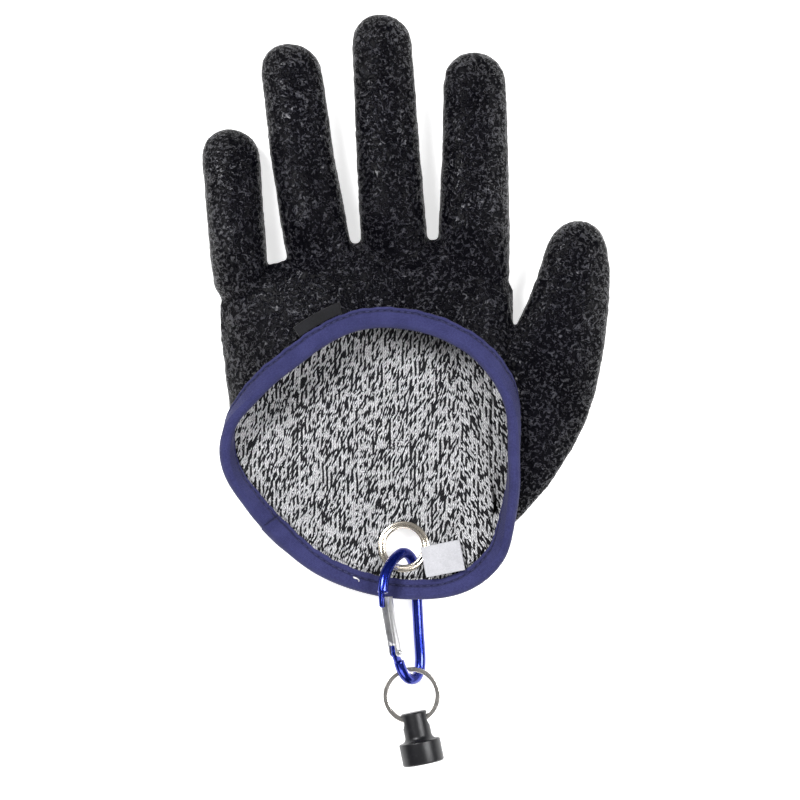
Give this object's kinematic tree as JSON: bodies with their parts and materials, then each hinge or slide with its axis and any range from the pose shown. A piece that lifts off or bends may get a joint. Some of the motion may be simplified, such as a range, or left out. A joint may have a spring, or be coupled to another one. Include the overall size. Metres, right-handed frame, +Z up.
{
  "type": "fishing glove",
  "caption": "Coated knit landing glove for the left hand with an open bound back, and a snap hook, split ring and magnet head clipped to its heel eyelet",
  "frame": {"origin": "on the table under the middle of the palm", "axes": "+Y along the fingers, +X towards the thumb, +Z up out of the open back"},
  "size_m": [0.1471, 0.2714, 0.023],
  "materials": {
    "latex": "crinkled satin",
    "knit": "matt knit",
    "tape": "matt weave",
    "black_tab": "matt weave",
    "white_tab": "satin weave",
    "nickel": "polished",
    "blue_anodised": "anodised gloss",
    "steel": "satin",
    "pin_steel": "satin",
    "ring_steel": "polished",
    "black_anodised": "anodised satin",
    "magnet_steel": "polished"
  },
  "bodies": {
    "glove": {"coated_shell": "latex", "knit_lining": "knit", "edge_binding": "tape", "woven_tab": "black_tab", "size_tab": "white_tab", "eyelet": "nickel", "carabiner_frame": "blue_anodised", "gate_pin": "pin_steel", "split_ring": "ring_steel", "magnet_body": "black_anodised", "magnet_disc": "magnet_steel"},
    "gate": {"carabiner_gate": "steel"}
  },
  "joints": [
    {"name": "gate_hinge", "type": "hinge", "parent": "glove", "child": "gate", "pos_m": [0.00926, -0.0728, 0.01259], "axis": [-0.7648, -0.0428, -0.6428], "range_deg": [0, 12], "stiffness_Nm_per_rad": 0.004}
  ]
}
